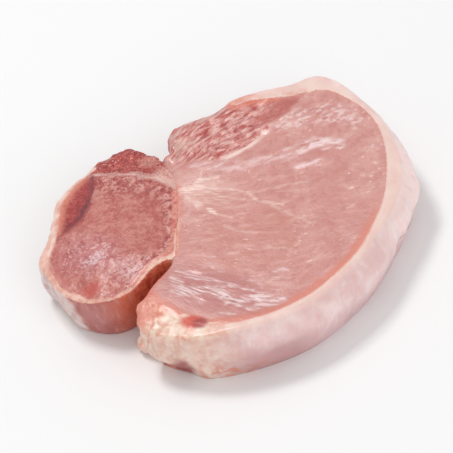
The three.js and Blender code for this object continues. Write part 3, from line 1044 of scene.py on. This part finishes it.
def strand_marks(p):
    x = p[:, 0]
    to_eye = ragged_from("loin_eye", p, 1.4, 4.0, 221)
    orange = band(ragged_from("back_fat", p, 0.8, 4.0, 222), 2.6, 1.6) * rise(x, 0, 8)
    like_eye = band(to_eye, 1.6, 1.4) * (rise(-x, 0, 6) + rise(x, 26, 32))
    inside = ragged(-edge(p), p, 0.8, 5.0, 225)
    by_fat = stroke(p, ((18, 51.7), (26.5, 51.4)), 2.2)
    # Where the strands are moist: the roughness falls there and pale glints are painted.
    gloss = np.maximum(0.8 * spot(p, (12, 40), (26, 12), 22), 0.9 * by_fat)
    septum = band(ragged_from("loin_eye", p, 0.4, 3.0, 226), 0.5, 0.7)
    septum = septum * rise(x, 0, 6) * fall(x, 15, 22)
    return {
        "across": strand_across(p),
        "smooth_patch": spot(p, (28.5, 48.5), (16, 6), 33),
        "pale": 0.55 * spot(p, (-11.5, 39), (7, 6), 40),
        "grey_band": 0.75 * band(np.abs(inside - 3.6), 0.9, 0.9) * rise(-x, -14, -2),
        "red_rim": 0.6 * band(inside, 1.6, 1.0) * rise(-x, -22, -10),
        "like_eye": np.clip(0.7 * like_eye + 0.5 * rise(x, 30, 42), 0, 1),
        "septum": 0.85 * septum,
        "orange": 0.85 * orange * fall(x, 26, 33),
        "gloss": gloss * rise(distances["loin_eye"](p), 0, 4),
        "fatty": 0.85 * band(ragged_from("back_fat", p, 2.0, 7.0, 223), 0.8, 0.8) * on_side(p),
    }


def lobe_marks(p):
    """What the tenderloin's cut face and wall show. The sheath shows the same beside them."""
    x, y, _ = p.T
    shift = along_wall(p)
    upper = rise(y + 0.4 * x, -8, 12)
    to_seam = np.minimum(distances["seam_fat"](p), distances["loin_eye"](p))
    by_seam = band(ragged(to_seam, p, 1.0, 3.0, 231), 3.0, 2.5)
    by_strap = band(ragged_from("strap_muscle", p, 1.0, 3.0, 233), 1.6, 1.4)
    strap = band(ragged_from("strap_muscle", p, 1.3, 3.0, 234), 0.9, 0.9)
    return {
        "strap": 0.75 * strap,
        "dark": np.clip(0.5 * upper + 0.6 * by_seam + 0.8 * by_strap, 0, 1),
        "coarse": np.clip(0.8 * upper + 0.8 * by_seam, 0, 1),
        "pink": 0.85 * spot(p, (-54, -9), (19, 13), -20),
        # Where a pale lilac patch is painted as a highlight.
        "sheen": 0.6 * spot(p, (-51.4, -12.6), (6, 3.5), 10) + 0.35 * spot(p, (-40, -20), (9, 5), -10),
        "red": 0.9 * spot(p, (-54.1, -25.4), (6, 4), 20),
        "rim": rim_mark(p),
        "wall": on_side(p),
        "lilac": 0.4 * rise(shift, -60, -56) * fall(shift, -53, -46),
        "groove": rise(x, -52, -40),
    }


def tender_marks(p):
    septum = band(ragged_from("notch_trim", p, 1.0, 3.0, 232), 1.0, 0.9)
    return {**lobe_marks(p), "septum": 0.85 * septum * broken(p)}


def trim_marks(p):
    to_lobe = ragged_from("tenderloin", p, 1.1, 2.5, 241)
    wider = 2.0 * rise(p[:, 0], -36, -22)
    return {
        "pale": np.clip(0.8 * spot(p, (-20, 25), (8, 9)) + 0.4 * spot(p, (-26, 36), (6, 5)), 0, 1),
        "septum": 0.85 * band(to_lobe - wider, 1.7, 1.0) * broken(p),
        "fatty": 0.85 * band(ragged_from("sheath", p, 2.0, 6.0, 242), 1.2, 1.0) * on_side(p),
    }


def strap_marks(p):
    to_sheath = ragged_from("sheath", p, 0.5, 2.5, 251)
    to_lobe = ragged_from("tenderloin", p, 0.8, 2.5, 252)
    return {
        "dark": np.clip(0.8 * spot(p, (-53.5, 9.5), (7, 13), -20) + 0.8 * band(to_lobe, 2.4, 1.6), 0, 1),
        "pale": 0.8 * band(to_sheath, 2.2, 1.6),
    }


def back_fat_marks(p):
    x, y, z = p.T
    tail = rise(-x, -4, 20) * rise(-y, 34, 46)
    stain = rise(-x, -25, 10) * rise(-y, 44, 56)
    stain = stain * (0.2 + 0.7 * fall(z, 4, 12))
    from_clot = ragged(np.hypot((x + 24.6) / 5.6, (z - 5.5) / 11.0), p, 0.16, 3.0, 265)
    foot_spots = 0.9 * fall(from_clot, 0.4, 1.05) * rise(-y, 46, 50)
    foot_spots += spot(p, (-34, -52), (4, 4)) * fall(z, 2, 6)
    to_eye = ragged_from("loin_eye", p, 0.3, 3.0, 261)
    by_lean = band(to_eye, 0.6, 0.5) * rise(z, 20, 23)
    top = band(distances["strand_muscle"](p), 2.5, 1.5) * rise(z, 18, 22)
    flesh = (
        band(ragged_from("flank_strip", p, 0.8, 3.0, 262), 1.0, 0.8),
        spot(p, (-29.0, -44.0), (8, 5.5), 40),
        0.7 * band(ragged_from("strand_muscle", p, 2.0, 7.0, 224), 0.2, 0.8) * on_side(p),
        0.75 * spot(p, (12, 59.5), (13, 4), 12) * rise(z, 18, 22),
        0.9 * spot(p, (-31, -53), (8, 8)) * fall(z, 5, 9.5),
    )
    return {
        "tail": tail,
        "stain": np.clip(stain + 0.5 * top + 0.2 * tail * rise(z, 21, 24), 0, 1),
        "flesh": 0.85 * np.max(flesh, axis=0),
        "red": red_spot(p) * rise(z, 18, 21),
        "clot": np.clip(foot_spots + clot(p) * rise(z, 18, 21), 0, 1),
        "by_lean": by_lean * (0.15 + 0.55 * rise(-y, 4, 28)),
        # Painted light on the right side of the back fat's wall.
        "bright": 0.85 * spot(p, (74, -6), (22, 50)),
        "by_edge": 0.8 * rise(edge(p), -6, -0.5),
        # The crease, where the relief sinks and a darker line is painted as shade.
        "fold": 0.7 * band(np.abs(above_fold(p)), 0.6, 0.6) * along_fold(p),
        # Painted shade: the wall darker towards its foot, and most at the front.
        "low": 0.7 * fall(z, 1, 15),
        "shade": 0.85 * spot(p, (6, -60), (26, 14)) * fall(z, 11, 18),
    }


def flank_marks(p):
    """Fat grows over the strip from its lower end and from the foot."""
    from_end = rise(ragged(-p[:, 1], p, 1.4, 4.0, 302), 49, 51)
    from_foot = rise(ragged(-p[:, 2], p, 1.4, 4.0, 303), -8.5, -6.5)
    return {"fat": 0.9 * np.maximum(from_end, from_foot)}


def seam_marks(p):
    x, y, z = p.T
    upper = rise(y + 0.3 * x, -26.5, -22.5)
    line = band(ragged_from("loin_eye", p, 0.3, 3.0, 271), 0.9, 0.4)
    inner = band(ragged_from("tenderloin", p, 0.4, 3.0, 272), 1.9, 0.6) * rise(z, 20, 23)
    return {
        # The groove wall, whose colour is partly its own and partly painted shade.
        "deep": on_side(p),
        "meat": np.clip(upper * (1.0 - 0.6 * line * fall(y, -8, 2)) + inner, 0, 1),
    }


def sheath_marks(p):
    _, y, z = p.T
    shift = along_wall(p)
    to_lobe = np.minimum(distances["tenderloin"](p), distances["strap_muscle"](p))
    marks = lobe_marks(p)
    inside = ragged(-edge(p), p, 0.5, 3.0, 284)
    marks.update(
        lobe=rise(inside, 1.2, 2.4) * rise(-y, 4, 11) * rise(z, 15, 18),
        wall=on_side(p) * rise(shift, -64, -60) * rise(-y, 5, 12),
        film=on_side(p) * fall(shift, -64, -60),
        meat=0.7 * band(ragged(to_lobe, p, 0.8, 3.0, 282), 1.0, 1.0) * rise(z, 15, 18),
        flesh=0.7 * band(ragged_from("notch_trim", p, 2.0, 6.0, 283), 0.4, 0.8) * on_side(p),
    )
    return marks


PIECES = {
    "loin_eye": (eye_material, eye_marks),
    "strand_muscle": (strand_material, strand_marks),
    "tenderloin": (tender_material, tender_marks),
    "notch_trim": (trim_material, trim_marks),
    "strap_muscle": (strap_material, strap_marks),
    "flank_strip": (flank_material, flank_marks),
    "back_fat": (back_fat_material, back_fat_marks),
    "seam_fat": (seam_material, seam_marks),
    "sheath": (sheath_material, sheath_marks),
}
for node_name, (make_material, make_marks) in PIECES.items():
    make_piece(node_name, make_material(), make_marks)


# ---- The stage, the light and the camera ----

FLOOR_SIZE = 6.0  # in metres, as are the places and sizes of the lights
FLOOR_COLOUR = (0.86, 0.86, 0.86, 1.0)
FLOOR_ROUGHNESS = 0.6
LIGHTS = (  # each with its place, its size and its power in watts
    ("window", (-0.3, 0.4, 1.1), (0.32, 0.26), 5.5),
    ("fill", (0.5, -0.9, 0.7), (0.9, 0.9), 4.0),
)
SKY_COLOUR = (1.0, 1.0, 1.0, 1.0)
SKY_STRENGTH = 0.64
FARTHEST_VIEW = 20.0  # nothing beyond this is seen


def add_floor():
    bpy.ops.mesh.primitive_plane_add(size=FLOOR_SIZE)
    plane = bpy.context.object
    plane.name = "floor"
    material = bpy.data.materials.new("pale_floor")
    material.use_nodes = True
    shader = material.node_tree.nodes["Principled BSDF"]
    shader.inputs["Base Color"].default_value = FLOOR_COLOUR
    shader.inputs["Roughness"].default_value = FLOOR_ROUGHNESS
    plane.data.materials.append(material)


def add_light(name, place, size, power):
    """A rectangular light that faces the origin."""
    light = bpy.data.lights.new(name, "AREA")
    light.shape = "RECTANGLE"
    light.size, light.size_y = size
    light.energy = power
    holder = add_object(name, light)
    holder.location = place
    holder.rotation_euler = (-Vector(place)).to_track_quat("-Z", "Y").to_euler()


def add_sky():
    world = bpy.data.worlds.new("studio")
    bpy.context.scene.world = world
    world.use_nodes = True
    background = world.node_tree.nodes["Background"]
    background.inputs["Color"].default_value = SKY_COLOUR
    background.inputs["Strength"].default_value = SKY_STRENGTH


def add_camera():
    place, aim = Vector(CAMERA_PLACE) * MM, Vector(CAMERA_AIM) * MM
    forward = (aim - place).normalized()
    right = forward.cross(Vector(CAMERA_UP)).normalized()
    up = right.cross(forward)
    data = bpy.data.cameras.new("camera")
    data.lens = LENS
    data.clip_end = FARTHEST_VIEW
    holder = add_object("camera", data)
    turn = Matrix((right, up, -forward)).transposed().to_4x4()
    holder.matrix_world = Matrix.Translation(place) @ turn
    bpy.context.scene.camera = holder


add_floor()
for light_settings in LIGHTS:
    add_light(*light_settings)
add_sky()
add_camera()
bpy.context.scene.view_settings.view_transform = "Standard"
